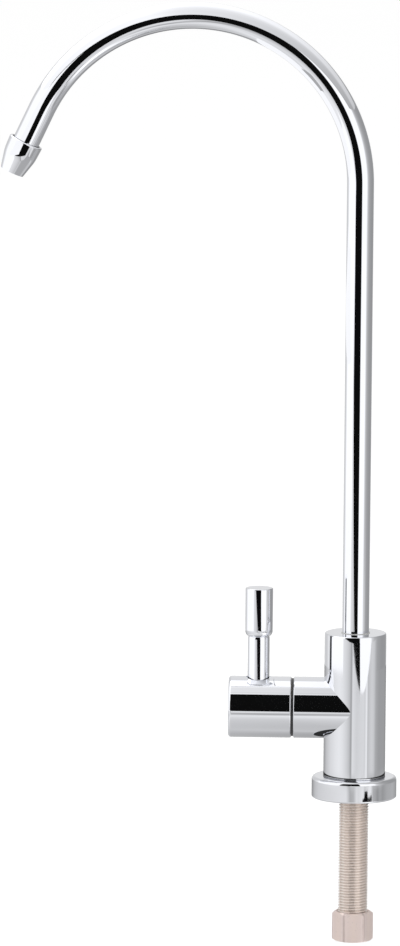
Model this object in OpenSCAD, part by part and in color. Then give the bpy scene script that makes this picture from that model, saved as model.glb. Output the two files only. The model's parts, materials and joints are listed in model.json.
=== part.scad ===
// Drinking water filter tap: a swivelling gooseneck spout on a small cast body, with a quarter-turn
// ceramic valve in a side branch, a lever knob, and a threaded inlet shank with a compression nut.
// The origin is the centre of the flange's underside, which rests on the deck. +Z is up, and the
// branch and the spout reach along -X.

/* [Body] */
// Diameter of the body's upright column
body_d = 23; // [22:0.5:30]
// Height of the column's top above the deck
body_top = 62; // [60:0.5:90]
// Rounding of the column's top edge
body_edge = 0.5; // [0.2:0.1:1]
// Bevel at the column's foot, which leaves a shadow line above the flange
foot_bevel = 0.4; // [0.2:0.1:0.8]
// Diameter of the base flange
flange_d = 31.6; // [31:0.2:45]
// Thickness of the base flange
flange_t = 8; // [6:0.5:11]
// Rounding of the flange's top edge
flange_edge = 1.3; // [0.3:0.1:2]
// Rounding of the flange's bottom edge
flange_foot_edge = 0.6; // [0.2:0.1:1]
// Thickness of the rubber gasket let into the flange's underside
gasket_t = 1.5; // [1:0.25:2.5]
// Outer diameter of that gasket
gasket_d = 25; // [22:0.5:27]

/* [Valve branch] */
// How much smaller the branch's radius is than the column's
branch_step = 0.1; // [0.05:0.05:0.5]
// Height of the valve's axis above the deck
branch_z = 33.5; // [32:0.5:36]
// Distance from the column's axis to the branch's end face
branch_reach = 22.8; // [22:0.2:30]
// Diameter of the valve chamber bored in the branch
chamber_d = 17; // [16.4:0.2:17.6]
// Distance from the column's axis to the flat valve seat
seat_u = 4.5; // [4.2:0.1:5]
// Diameter of the water passages in the body
passage_d = 5; // [4:0.25:5.5]
// Diameter of the ceramic discs
disc_d = 12.4; // [12:0.1:12.8]
// Thickness of each ceramic disc
disc_t = 3; // [2.5:0.1:3.5]
// Diameter of the spindle
spindle_d = 7; // [6.4:0.1:7.6]

/* [Handle] */
// Gap between the branch and the knob
knob_gap = 0.9; // [0.6:0.1:1.5]
// Length of the knob
knob_len = 23.3; // [21:0.1:32]
// Rounding of the knob's outer rim
knob_edge = 1; // [0.4:0.1:2]
// Wall of the knob's open end
knob_wall = 1.2; // [0.9:0.1:1.5]
// Distance from the knob's open end to the lever's axis
lever_back = 12.3; // [11.6:0.1:15]
// Diameter of the lever's stem
stem_d = 8.1; // [7.2:0.1:9]
// Diameter of the lever's grip at its top
grip_d = 10.3; // [9.8:0.1:13]
// How much narrower the grip is at its lower end
grip_taper = 0.05; // [0:0.05:0.5]
// Length of the grip
grip_len = 17.9; // [12:0.1:24]
// Height of the rounded shoulder under the grip
grip_round = 2.2; // [1:0.1:3]
// Height of the lever's top above the valve's axis
lever_rise = 44.8; // [40:0.1:70]
// Diameter of the stud that joins the lever to the spindle
stud_d = 5; // [4:0.5:5.5]

/* [Spout] */
// Outer diameter of the spout tube
tube_d = 10; // [9:0.5:12]
// Wall of the spout tube
tube_wall = 1; // [0.8:0.1:1.4]
// Radius of the gooseneck at the tube's centre line
bend_r = 62.1; // [40:0.1:90]
// Height of the gooseneck's centre above the deck
bend_z = 230.4; // [120:0.2:300]
// Angle of the gooseneck
bend_angle = 155; // [120:1:180]
// Straight tube between the gooseneck and the nozzle's rim
tip_len = 13; // [8:0.5:40]
// How far the nozzle's rim stands out from the tube
nozzle_lip = 1.5; // [1.3:0.05:2.5]
// Length of the nozzle
nozzle_len = 12.6; // [10:0.1:20]
// Length of the nozzle's upper part, which hardly narrows
nozzle_shoulder = 5.6; // [5:0.1:7]
// How much the upper part narrows
nozzle_waist = 0.25; // [0.1:0.05:0.4]
// Outer diameter of the nozzle's mouth
mouth_d = 9.1; // [7.5:0.05:10]
// Wall of the nozzle at its mouth
mouth_wall = 1; // [0.7:0.05:1.5]
// Length of tube held in the nozzle
nozzle_grip = 4.5; // [3:0.5:6]

/* [Shank and nut] */
// Outer diameter of the shank's thread
thread_d = 11.11; // [10:0.01:13]
// Pitch of the shank's thread
thread_pitch = 1.058; // [0.8:0.001:1.5]
// Length of the shank below the deck
shank_len = 49.3; // [35:0.1:90]
// Diameter of the socket for the water tube in the shank's lower end
inlet_d = 6.6; // [6:0.1:7]
// Depth of that socket
inlet_depth = 10; // [6:0.5:15]
// Thickness of the nut's wall between its flats and the thread
nut_wall = 1.145; // [1:0.005:2.5]
// Height of the nut
nut_h = 11; // [10.5:0.1:14]
// Length of thread that the tightened nut covers
nut_grip = 6; // [5:0.1:6.5]
// How far the tightened nut is turned from square
nut_clock = 5; // [0:1:30]

/* [Hidden] */
$fn = 96;

// Colours of the finishes
CHROME = [0.80, 0.82, 0.84];
NICKEL = [0.80, 0.74, 0.68];
BRASS = [0.78, 0.66, 0.36];
STEEL = [0.62, 0.63, 0.66];
RUBBER = [0.13, 0.13, 0.13];
NYLON = [0.90, 0.89, 0.84];
ACETAL = [0.16, 0.16, 0.17];
CERAMIC = [0.93, 0.92, 0.90];

// Clearances: radial for a turning fit, radial for a fixed slip fit, between faces that slide, round a
// seal, and the overshoot of a cut past the face it opens
turn_gap = 0.05;
slip_gap = 0.03;
face_gap = 0.05;
seal_gap = 0.03;
cut = 1;

// Section of the O-rings, and half the width of the grooves that hold them
ring_section_r = 0.7;
ring_side_gap = 0.2;
ring_room = ring_section_r + ring_side_gap;

// Radii of the main forms
body_r = body_d / 2;
branch_r = body_r - branch_step;
chamber_r = chamber_d / 2;
flange_r = flange_d / 2;
tube_r = tube_d / 2;
tube_bore_r = tube_r - tube_wall;
thread_r = thread_d / 2;
spindle_r = spindle_d / 2;
disc_r = disc_d / 2;
stem_r = stem_d / 2;
stud_r = stud_d / 2;

// Thread: crest, root and the plain radius at mid flank
depth_ratio = 0.6134;
thread_depth = depth_ratio * thread_pitch;
crest_w = thread_pitch / 8;
root_w = thread_pitch / 4;
flank_h = (thread_pitch - crest_w - root_w) / 2;
root_r = thread_r - thread_depth;
neck_r = thread_r - thread_depth / 2;
thread_clear = 0.1;

// Shank in the body: a spigot below a flat seal
spigot_step = 0.55;
spigot_r = thread_r - spigot_step;
spigot_len = 9;
shank_bore_r = 2.5;
shank_bevel = 0.3;
seal_t = 1.2;
seal_margin = 0.1;
shank_top = flange_t + spigot_len;
shank_socket_top = shank_top + seal_t;
flange_hole_gap = 0.15;
flange_hole_r = thread_r + flange_hole_gap;
gasket_r = gasket_d / 2;
gasket_hole_gap = 0.9;

// Nut and ferrule at the shank's lower end, measured up from the deck, with each bevel's width and height
shank_end = -shank_len;
nut_top = shank_end + nut_grip;
nut_bottom = nut_top - nut_h;
nut_r = (thread_r + nut_wall) / cos(30);
nut_bore_r = neck_r + thread_clear;
nut_lead = 0.5;
nut_top_bevel = [1.3, 1.1];
nut_low_bevel = [1, 0.7];
nut_bevel_past = 0.2;
inlet_r = inlet_d / 2;
ferrule_wall = 0.85;
ferrule_rim = 0.25;
ferrule_half = 2.2;
ferrule_band = 0.3;
ferrule_drop = 0.8;
ferrule_r = inlet_r - slip_gap;
ferrule_mid = shank_end - ferrule_drop;
ferrule_room = 0.1;
ferrule_seat_room = 0.2;
flare_r = inlet_r + ferrule_wall + ferrule_rim;
flare_room = 0.6;
flare_top = ferrule_mid + ferrule_half + flare_room;
thread_turns = floor((-nut_top - 2 * thread_clear) / thread_pitch);

// Valve pieces along the branch, measured from the column's axis
seat_seal_t = 1.6;
disc_u = seat_u + seat_seal_t;
turn_disc_u = disc_u + disc_t + face_gap;
carrier_u = turn_disc_u + disc_t;
carrier_t = 2;
carrier_step = 0.1;
carrier_r = disc_r - carrier_step;
washer_u = carrier_u + carrier_t + face_gap;
washer_t = 0.8;
shoulder_u = washer_u + washer_t;
disc_bore_r = disc_r + 2 * turn_gap;
housing_lift = 0.6;
housing_wall = 0.7;
housing_u = seat_u + housing_lift;
housing_r = disc_bore_r + housing_wall;
thread_back = 1;
thread_u = shoulder_u - thread_back;
thread_part_r = chamber_r - slip_gap;
collar_t = 1.6;
hex_t = 3;
hex_inset = 0.2;
stub_t = 2.9;
stub_wall = 2.2;
stub_r = spindle_r + stub_wall;
neck_end_u = branch_reach + collar_t + hex_t + stub_t;
clip_t = 0.8;
clip_u = neck_end_u + face_gap;
clip_groove = 0.6;
clip_lip = 1.2;
clip_opening = 90;
port_r = 1.6;
port_place = 3.35;
port_margin = 0.1;
tongue_w = 2.2;
tongue_len = 7.4;
tongue_h = 1.4;
channel_floor = 0.2;
window_side = 1;
window_w = 2 * (port_r + window_side);
window_margin = 0.3;
housing_ring_in = 2.5;
housing_ring_u = thread_u + housing_ring_in;
spindle_ring_in = 3;
spindle_ring_step = 4;
spindle_ring_in_u = shoulder_u + spindle_ring_in;
spindle_ring_out_u = spindle_ring_in_u + spindle_ring_step;

// Knob and lever
knob_r = branch_r;
knob_u = branch_reach + knob_gap;
knob_end_u = knob_u + knob_len;
cavity_r = knob_r - knob_wall;
cavity_room = 1;
cavity_end_u = clip_u + clip_t + cavity_room;
collar_gap = 0.35;
collar_r = cavity_r - collar_gap;
glide_inset = 0.6;
glide_gap = 0.1;
lever_u = knob_u + lever_back;
spindle_past = 5;
spindle_end_u = lever_u + spindle_past;
spindle_end_room = 0.5;
drive_cut = 0.8;
drive_flat = spindle_r - drive_cut;
spot_margin = 0.5;
spot_sink = 0.15;
spot_r = stem_r + spot_margin;
spot_rise = sqrt(pow(knob_r, 2) - pow(spot_r, 2)) - spot_sink;
stem_bevel = 0.3;
stem_neck_h = 0.4;
stem_neck_in = 0.15;
grip_rise = lever_rise - grip_len;
grip_r = grip_d / 2;
grip_low_r = grip_r - grip_taper / 2;
grip_edge = 0.4;
stud_in_lever = 8;
stud_room = 0.5;

// Spout's swivel socket in the column, from its floor up
socket_r = tube_r + turn_gap;
socket_wall = 1.6;
socket_floor = branch_z + chamber_r + socket_wall;
tail_lift = 1.2;
tail_wall = 1.4;
tail_bottom = socket_floor + tail_lift;
tail_bore_r = tube_bore_r - tail_wall;
tail_end_h = 1;
spout_clip_t = 1;
spout_clip_in = 0.7;
spout_clip_out = 0.75;
spout_clip_opening = 30;
spout_clip_z = tail_bottom + tail_end_h;
ring_low_lift = 1.7;
ring_step = 2.6;
ring_lip = 1.5;
ring_low_z = spout_clip_z + spout_clip_t + ring_low_lift;
ring_high_z = ring_low_z + ring_step;
tail_shoulder = ring_high_z + ring_lip;
tail_plug = 5;
bearing_lip = 0.35;
bearing_h = 1.6;
bearing_proud = 0.2;

// The straight tip is drawn a hair thinner than the gooseneck, and runs a little way into its wall
tip_step = 0.02;
tip_lap = 1;
nozzle_bevel = 0.3;
nozzle_knee = 1.6;

// Passages in the body: up from the shank to the seat, and from the valve chamber up to the spout
inlet_passage_r = passage_d / 2;
inlet_short = 0.5;
inlet_passage_top = branch_z + inlet_passage_r - inlet_short;
seat_port_step = 0.1;
seat_port_r = inlet_passage_r - seat_port_step;
outlet_back = 0.4;
outlet_x = seat_u - outlet_back;
outlet_step = 0.5;
outlet_r = inlet_passage_r - outlet_step;
outlet_margin = 0.4;
outlet_low = branch_z + disc_r + outlet_margin;

// Points on an arc, for rounded outlines
function arc(cx, cy, rx, ry, from, to, steps = 8) =
    [for (i = [0:steps]) let (a = from + (to - from) * i / steps) [cx + rx * cos(a), cy + ry * sin(a)]];

// Points on a soft corner between two straight sides, which starts and ends at a reach from the corner
function knee(before, corner, after, reach, steps = 8) =
    let (
        start = corner + (before - corner) * reach / norm(before - corner),
        end = corner + (after - corner) * reach / norm(after - corner)
    )
    [for (i = [0:steps]) let (t = i / steps) start * pow(1 - t, 2) + corner * 2 * t * (1 - t) + end * pow(t, 2)];

// Puts a piece that is built upright, with its height measured from the column's axis, on the valve's axis
module on_valve_axis() {
    translate([0, 0, branch_z]) rotate([0, -90, 0]) children();
}

// Puts a piece that is built upright on the end of the gooseneck, pointing the way the water leaves
module at_bend_end() {
    translate([-bend_r, 0, bend_z]) rotate([0, -bend_angle, 0]) translate([bend_r, 0, 0]) children();
}

// A straight pipe or ring that stands on z = from
module ring(outer, inner, from, to) {
    difference() {
        translate([0, 0, from]) cylinder(r = outer, h = to - from);
        translate([0, 0, from - cut]) cylinder(r = inner, h = to - from + 2 * cut);
    }
}

// A rubber ring of round section
module o_ring(middle, section, at) {
    translate([0, 0, at]) rotate_extrude() translate([middle, 0]) circle(r = section);
}

// A square groove round a shaft, as a cutter
module shaft_groove(floor_r, past_r, from, to) {
    ring(past_r, floor_r, from, to);
}

// A spring clip: a flat ring with a gap that lets it open
module split_ring(outer, inner, from, height, gap_angle) {
    translate([0, 0, from]) rotate([0, 0, gap_angle / 2]) rotate_extrude(angle = 360 - gap_angle)
        translate([inner, 0]) square([outer - inner, height]);
}

// Radii of an O-ring squeezed between a shaft's groove and the bore that it seals
function ring_middle(bore_r) = bore_r - seal_gap - ring_section_r;
function ring_floor(bore_r) = ring_middle(bore_r) - ring_section_r - seal_gap;

// Cast body

module column_form() {
    rotate_extrude() polygon(concat(
        [[0, flange_t], [body_r - foot_bevel, flange_t], [body_r, flange_t + foot_bevel]],
        arc(body_r - body_edge, body_top - body_edge, body_edge, body_edge, 0, 90),
        [[0, body_top]]
    ));
}

module branch_form() {
    on_valve_axis() rotate_extrude() polygon(concat(
        [[0, 0], [branch_r, 0]],
        arc(branch_r - foot_bevel, branch_reach - foot_bevel, foot_bevel, foot_bevel, 0, 90),
        [[0, branch_reach]]
    ));
}

module spout_socket() {
    translate([0, 0, socket_floor]) cylinder(r = socket_r, h = body_top - socket_floor + cut);
    translate([0, 0, spout_clip_z - face_gap])
        cylinder(r = socket_r + spout_clip_out + 2 * face_gap, h = spout_clip_t + 2 * face_gap);
    translate([0, 0, body_top - bearing_h])
        cylinder(r = tube_r + bearing_lip + slip_gap, h = bearing_h + cut);
}

module waterways() {
    translate([0, 0, flange_t - cut])
        cylinder(r = spigot_r + slip_gap, h = shank_socket_top - flange_t + cut);
    translate([0, 0, shank_socket_top - cut])
        cylinder(r = inlet_passage_r, h = inlet_passage_top - shank_socket_top + cut);
    on_valve_axis() cylinder(r = seat_port_r, h = seat_u + cut);
    on_valve_axis() translate([0, 0, seat_u]) cylinder(r = chamber_r, h = branch_reach - seat_u + cut);
    translate([-outlet_x, 0, outlet_low]) cylinder(r = outlet_r, h = socket_floor - outlet_low + cut);
}

module tap_body() {
    color(CHROME) difference() {
        union() {
            column_form();
            branch_form();
        }
        spout_socket();
        waterways();
    }
}

module base_flange() {
    color(CHROME) rotate_extrude() polygon(concat(
        [[flange_hole_r, gasket_t], [gasket_r + slip_gap, gasket_t]],
        [[gasket_r + slip_gap, 0]],
        arc(flange_r - flange_foot_edge, flange_foot_edge, flange_foot_edge, flange_foot_edge, -90, 0),
        arc(flange_r - flange_edge, flange_t - flange_edge, flange_edge, flange_edge, 0, 90),
        [[flange_hole_r, flange_t]]
    ));
}

module base_gasket() {
    color(RUBBER) ring(gasket_r, thread_r + gasket_hole_gap, 0, gasket_t);
}

// Inlet shank and its fittings

function thread_ring(z) = [
    [root_r, z], [thread_r, z + flank_h],
    [thread_r, z + flank_h + crest_w], [root_r, z + 2 * flank_h + crest_w]
];

module shank() {
    thread_bottom = nut_top + thread_clear;
    thread_top = thread_bottom + thread_turns * thread_pitch;
    color(NICKEL) rotate_extrude() polygon(concat(
        [[flare_r, shank_end], [neck_r - shank_bevel, shank_end], [neck_r, shank_end + shank_bevel]],
        [[neck_r, thread_bottom]],
        [for (i = [0:thread_turns - 1]) each thread_ring(thread_bottom + i * thread_pitch)],
        [[root_r, thread_top], [neck_r, thread_top]],
        [[neck_r, flange_t], [spigot_r, flange_t], [spigot_r, shank_top], [shank_bore_r, shank_top]],
        [[shank_bore_r, shank_end + inlet_depth], [inlet_r, shank_end + inlet_depth]],
        [[inlet_r, flare_top]]
    ));
}

module shank_seal() {
    color(RUBBER) ring(spigot_r - seal_margin, shank_bore_r + seal_margin, shank_top, shank_socket_top);
}

module ferrule() {
    color(BRASS) rotate_extrude() polygon([
        [ferrule_r, ferrule_mid - ferrule_half],
        [ferrule_r + ferrule_rim, ferrule_mid - ferrule_half],
        [ferrule_r + ferrule_wall, ferrule_mid - ferrule_band],
        [ferrule_r + ferrule_wall, ferrule_mid + ferrule_band],
        [ferrule_r + ferrule_rim, ferrule_mid + ferrule_half],
        [ferrule_r, ferrule_mid + ferrule_half]
    ]);
}

module nut_outside() {
    intersection() {
        translate([0, 0, nut_bottom]) rotate([0, 0, nut_clock]) cylinder(r = nut_r, h = nut_h, $fn = 6);
        rotate_extrude() polygon([
            [0, nut_bottom], [nut_r - nut_low_bevel.x, nut_bottom],
            [nut_r + nut_bevel_past, nut_bottom + nut_low_bevel.y],
            [nut_r + nut_bevel_past, nut_top - nut_top_bevel.y],
            [nut_r - nut_top_bevel.x, nut_top], [0, nut_top]
        ]);
    }
}

module compression_nut() {
    cone_top = ferrule_mid - ferrule_band;
    cone_bottom = ferrule_mid - ferrule_half - ferrule_seat_room;
    color(NICKEL) difference() {
        nut_outside();
        rotate_extrude() polygon([
            [0, nut_bottom - cut], [inlet_r, nut_bottom - cut], [inlet_r, cone_bottom],
            [inlet_r + ferrule_rim, cone_bottom], [inlet_r + ferrule_wall + ferrule_room, cone_top],
            [nut_bore_r, cone_top], [nut_bore_r, nut_top - nut_lead], [nut_bore_r + nut_lead, nut_top],
            [nut_bore_r + nut_lead, nut_top + cut], [0, nut_top + cut]
        ]);
    }
}

// Valve cartridge in the branch

module housing_form() {
    rotate_extrude() polygon([
        [disc_bore_r, housing_u], [housing_r, housing_u], [housing_r, thread_u], [thread_part_r, thread_u],
        [thread_part_r, branch_reach], [collar_r, branch_reach], [collar_r, branch_reach + collar_t],
        [stub_r, branch_reach + collar_t], [stub_r, neck_end_u], [spindle_r + turn_gap, neck_end_u],
        [spindle_r + turn_gap, shoulder_u], [disc_bore_r, shoulder_u]
    ]);
}

module housing_hex() {
    difference() {
        translate([0, 0, branch_reach + collar_t]) cylinder(r = collar_r - hex_inset, h = hex_t, $fn = 6);
        translate([0, 0, branch_reach]) cylinder(r = stub_r - hex_inset, h = collar_t + hex_t + cut);
    }
}

module cartridge_housing() {
    ring_floor_r = ring_floor(chamber_r);
    color(BRASS) on_valve_axis() difference() {
        union() {
            housing_form();
            housing_hex();
        }
        translate([-housing_r - cut, -window_w / 2, turn_disc_u - window_margin])
            cube([2 * (housing_r + cut), window_w, disc_t + 2 * window_margin]);
        shaft_groove(ring_floor_r, chamber_r + cut, housing_ring_u - ring_room, housing_ring_u + ring_room);
    }
}

module housing_o_ring() {
    color(RUBBER) on_valve_axis() o_ring(ring_middle(chamber_r), ring_section_r, housing_ring_u);
}

module seat_seal() {
    color(RUBBER) on_valve_axis() ring(disc_r, port_place + port_r + port_margin, seat_u, disc_u);
}

module fixed_disc() {
    color(CERAMIC) on_valve_axis() difference() {
        translate([0, 0, disc_u]) cylinder(r = disc_r, h = disc_t);
        for (side = [-1, 1])
            translate([side * port_place, 0, disc_u - cut]) cylinder(r = port_r, h = disc_t + 2 * cut);
    }
}

module thrust_washer() {
    color(NYLON) on_valve_axis() ring(carrier_r, spindle_r + 2 * turn_gap, washer_u, shoulder_u);
}

module glide_ring() {
    color(ACETAL) on_valve_axis()
        ring(branch_r - glide_inset, collar_r + glide_gap, branch_reach, knob_u - face_gap);
}

// Handle: the spindle and all that turns with it

module spindle() {
    clip_floor = spindle_r - clip_groove;
    color(BRASS) on_valve_axis() difference() {
        union() {
            translate([0, 0, carrier_u]) cylinder(r = carrier_r, h = carrier_t);
            translate([0, 0, carrier_u]) cylinder(r = spindle_r, h = spindle_end_u - carrier_u);
            translate([-tongue_len / 2, -tongue_w / 2, carrier_u - tongue_h])
                cube([tongue_len, tongue_w, tongue_h + cut]);
        }
        shaft_groove(clip_floor, spindle_r + cut, clip_u - face_gap, clip_u + clip_t + face_gap);
        for (at = [spindle_ring_in_u, spindle_ring_out_u])
            shaft_groove(ring_floor(spindle_r + turn_gap), spindle_r + cut, at - ring_room, at + ring_room);
        for (side = [-1, 1])
            translate([side * (drive_flat + spindle_r) - spindle_r, -spindle_r - cut, cavity_end_u])
                cube([2 * spindle_r, 2 * (spindle_r + cut), spindle_end_u - cavity_end_u + cut]);
    }
}

module spindle_o_ring_inner() {
    color(RUBBER) on_valve_axis()
        o_ring(ring_middle(spindle_r + turn_gap), ring_section_r, spindle_ring_in_u);
}

module spindle_o_ring_outer() {
    color(RUBBER) on_valve_axis()
        o_ring(ring_middle(spindle_r + turn_gap), ring_section_r, spindle_ring_out_u);
}

module spindle_clip() {
    color(STEEL) on_valve_axis()
        split_ring(spindle_r + clip_lip, spindle_r - clip_groove + slip_gap, clip_u, clip_t, clip_opening);
}

module rotating_disc() {
    channel_w = 2 * (port_r - port_margin);
    color(CERAMIC) on_valve_axis() difference() {
        translate([0, 0, turn_disc_u]) cylinder(r = disc_r - turn_gap, h = disc_t);
        for (side = [-1, 1])
            translate([0, side * port_place, turn_disc_u - cut]) cylinder(r = port_r, h = disc_t + 2 * cut);
        for (side = [-1, 1])
            translate([-channel_w / 2, side * (port_place + disc_r / 2) - disc_r / 2, turn_disc_u - cut])
                cube([channel_w, disc_r, disc_t - tongue_h - channel_floor + cut]);
        translate([-tongue_len / 2 - slip_gap, -tongue_w / 2 - slip_gap, carrier_u - tongue_h - slip_gap])
            cube([tongue_len + 2 * slip_gap, tongue_w + 2 * slip_gap, tongue_h + cut]);
    }
}

module handle_knob() {
    bore_r = spindle_r + slip_gap;
    flat = drive_flat + slip_gap;
    color(CHROME) on_valve_axis() difference() {
        rotate_extrude() polygon(concat(
            [[0, cavity_end_u], [cavity_r, cavity_end_u], [cavity_r, knob_u], [knob_r - foot_bevel, knob_u]],
            [[knob_r, knob_u + foot_bevel]],
            arc(knob_r - knob_edge, knob_end_u - knob_edge, knob_edge, knob_edge, 0, 90),
            [[0, knob_end_u]]
        ));
        intersection() {
            translate([0, 0, cavity_end_u - cut])
                cylinder(r = bore_r, h = spindle_end_u + spindle_end_room - cavity_end_u + cut);
            translate([-flat, -bore_r - cut, cavity_end_u - 2 * cut])
                cube([2 * flat, 2 * (bore_r + cut), spindle_end_u - cavity_end_u + 4 * cut]);
        }
        translate([spot_rise, 0, lever_u]) rotate([0, 90, 0]) cylinder(r = spot_r, h = knob_r);
        translate([0, 0, lever_u]) rotate([0, 90, 0]) cylinder(r = stud_r + slip_gap, h = knob_r);
    }
}

// Puts a piece that is built upright, with its height measured from the valve's axis, on the lever's axis
module on_lever_axis() {
    translate([-lever_u, 0, branch_z]) children();
}

module lever() {
    stud_hole_depth = stud_in_lever + stud_room;
    color(CHROME) on_lever_axis() difference() {
        rotate_extrude() polygon(concat(
            [[0, spot_rise], [stem_r - stem_bevel, spot_rise], [stem_r, spot_rise + stem_bevel]],
            [[stem_r, grip_rise - stem_neck_h], [stem_r - stem_neck_in, grip_rise]],
            arc(stem_r, grip_rise + grip_round, grip_low_r - stem_r, grip_round, -90, 0),
            arc(grip_r - grip_edge, lever_rise - grip_edge, grip_edge, grip_edge, 0, 90),
            [[0, lever_rise]]
        ));
        translate([0, 0, spot_rise - cut]) cylinder(r = stud_r + slip_gap, h = stud_hole_depth + cut);
    }
}

module lever_stud() {
    stud_foot = drive_flat + face_gap;
    color(STEEL) on_lever_axis()
        translate([0, 0, stud_foot]) cylinder(r = stud_r, h = spot_rise + stud_in_lever - stud_foot);
}

// Spout: all that swivels in the column

module tube_section(step = 0) {
    difference() {
        circle(r = tube_r - step);
        circle(r = tube_bore_r + step);
    }
}

module spout_tube() {
    color(CHROME) union() {
        translate([0, 0, tail_shoulder]) linear_extrude(bend_z - tail_shoulder) tube_section();
        translate([-bend_r, 0, bend_z]) rotate([90, 0, 0])
            rotate_extrude(angle = bend_angle) translate([bend_r, 0]) tube_section();
        at_bend_end() translate([0, 0, -tip_lap]) linear_extrude(tip_lap + tip_len + nozzle_grip)
            tube_section(tip_step);
    }
}

module spout_nozzle() {
    rim_r = tube_r + nozzle_lip;
    mouth_r = mouth_d / 2;
    bore_r = mouth_r - mouth_wall;
    rim = [rim_r, nozzle_bevel];
    mouth = [mouth_r, nozzle_len];
    color(CHROME) at_bend_end() translate([0, 0, tip_len]) rotate_extrude() polygon(concat(
        [[tube_r + slip_gap, 0], [rim_r - nozzle_bevel, 0], rim],
        knee(rim, [rim_r - nozzle_waist, nozzle_shoulder], mouth, nozzle_knee),
        [mouth, [bore_r, nozzle_len], [bore_r, nozzle_grip], [tube_r + slip_gap, nozzle_grip]]
    ));
}

module spout_tail() {
    color(BRASS) difference() {
        union() {
            translate([0, 0, tail_bottom]) cylinder(r = tube_r, h = tail_shoulder - tail_bottom);
            translate([0, 0, tail_bottom])
                cylinder(r = tube_bore_r - slip_gap, h = tail_shoulder + tail_plug - tail_bottom);
        }
        translate([0, 0, tail_bottom - cut])
            cylinder(r = tail_bore_r, h = tail_shoulder + tail_plug - tail_bottom + 2 * cut);
        shaft_groove(socket_r - spout_clip_in - face_gap, socket_r + cut,
            spout_clip_z - face_gap, spout_clip_z + spout_clip_t + face_gap);
        for (at = [ring_low_z, ring_high_z])
            shaft_groove(ring_floor(socket_r), socket_r + cut, at - ring_room, at + ring_room);
    }
}

module spout_o_ring_upper() {
    color(RUBBER) o_ring(ring_middle(socket_r), ring_section_r, ring_high_z);
}

module spout_o_ring_lower() {
    color(RUBBER) o_ring(ring_middle(socket_r), ring_section_r, ring_low_z);
}

module spout_clip() {
    color(STEEL)
    split_ring(
        socket_r + spout_clip_out, socket_r - spout_clip_in, spout_clip_z, spout_clip_t, spout_clip_opening
    );
}

module spout_bearing_ring() {
    color(NYLON)
        ring(tube_r + bearing_lip, tube_r + turn_gap, body_top - bearing_h, body_top + bearing_proud);
}

tap_body();
base_flange();
base_gasket();
shank();
shank_seal();
cartridge_housing();
housing_o_ring();
seat_seal();
fixed_disc();
thrust_washer();
glide_ring();
spout_bearing_ring();
spout_tube();
spout_nozzle();
spout_tail();
spout_o_ring_upper();
spout_o_ring_lower();
spout_clip();
handle_knob();
lever();
lever_stud();
spindle();
rotating_disc();
spindle_o_ring_inner();
spindle_o_ring_outer();
spindle_clip();
ferrule();
compression_nut();
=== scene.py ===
"""Looks of the drinking water filter tap: polished chrome, a nickel shank and nut, and its inner pieces."""
import json
import math

import bmesh
import bpy
from mathutils import Matrix, Vector


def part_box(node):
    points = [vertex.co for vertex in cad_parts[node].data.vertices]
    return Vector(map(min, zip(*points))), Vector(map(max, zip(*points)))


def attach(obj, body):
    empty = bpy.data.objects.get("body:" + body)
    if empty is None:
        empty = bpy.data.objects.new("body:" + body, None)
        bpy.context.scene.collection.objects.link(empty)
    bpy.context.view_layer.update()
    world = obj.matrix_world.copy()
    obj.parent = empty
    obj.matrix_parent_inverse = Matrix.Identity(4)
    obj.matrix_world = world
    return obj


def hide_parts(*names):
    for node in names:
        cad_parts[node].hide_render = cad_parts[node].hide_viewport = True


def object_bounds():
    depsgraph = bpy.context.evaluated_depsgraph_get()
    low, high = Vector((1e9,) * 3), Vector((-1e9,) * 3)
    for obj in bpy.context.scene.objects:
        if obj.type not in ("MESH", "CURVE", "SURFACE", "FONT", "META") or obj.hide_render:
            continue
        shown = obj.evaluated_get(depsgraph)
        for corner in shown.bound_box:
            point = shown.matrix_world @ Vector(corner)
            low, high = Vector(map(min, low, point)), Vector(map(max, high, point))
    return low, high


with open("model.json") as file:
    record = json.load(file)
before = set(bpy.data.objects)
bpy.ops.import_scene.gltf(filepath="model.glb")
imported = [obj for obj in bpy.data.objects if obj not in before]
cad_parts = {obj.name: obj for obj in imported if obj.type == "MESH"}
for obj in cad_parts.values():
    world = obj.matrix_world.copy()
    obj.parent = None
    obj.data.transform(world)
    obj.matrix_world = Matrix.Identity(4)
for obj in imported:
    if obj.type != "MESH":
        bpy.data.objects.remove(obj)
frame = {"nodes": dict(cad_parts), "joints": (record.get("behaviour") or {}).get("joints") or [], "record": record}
CAD_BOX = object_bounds()
SCENE = bpy.context.scene
MM = 0.001

# Photograph's frame, in pixels, and the camera that took it
IMAGE_W, IMAGE_H = 400, 946
CAMERA_DISTANCE = 5.0
FOCAL_PX = 13460.0
CAMERA_EL = math.radians(9.1)
CAMERA_YAW = math.radians(1.5)
CAMERA_ROLL = math.radians(0.52)
SENSOR_MM = 36.0
SEEN_POINT = Vector((-0.050, 0.0, 0.120))
SEEN_PIXEL = (222.75, 476.8)


# Sizes taken from the frame, in metres

def measure(node, place=Matrix()):
    """A node's largest radius round a place's Z axis, and its lowest and highest points along that axis."""
    back = place.inverted()
    points = [back @ vertex.co for vertex in frame["nodes"][node].data.vertices]
    heights = [point.z for point in points]
    return max(point.xy.length for point in points), min(heights), max(heights)


JOINTS = {joint["name"]: joint for joint in frame["joints"]}
LEVER_X, _, VALVE_Z = JOINTS["lever_turn"]["pos_m"]
UPRIGHT = Matrix()
VALVE = Matrix.Translation((0, 0, VALVE_Z)) @ Matrix.Rotation(-math.pi / 2, 4, "Y")
LEVER = Matrix.Translation((LEVER_X, 0, 0))

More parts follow.
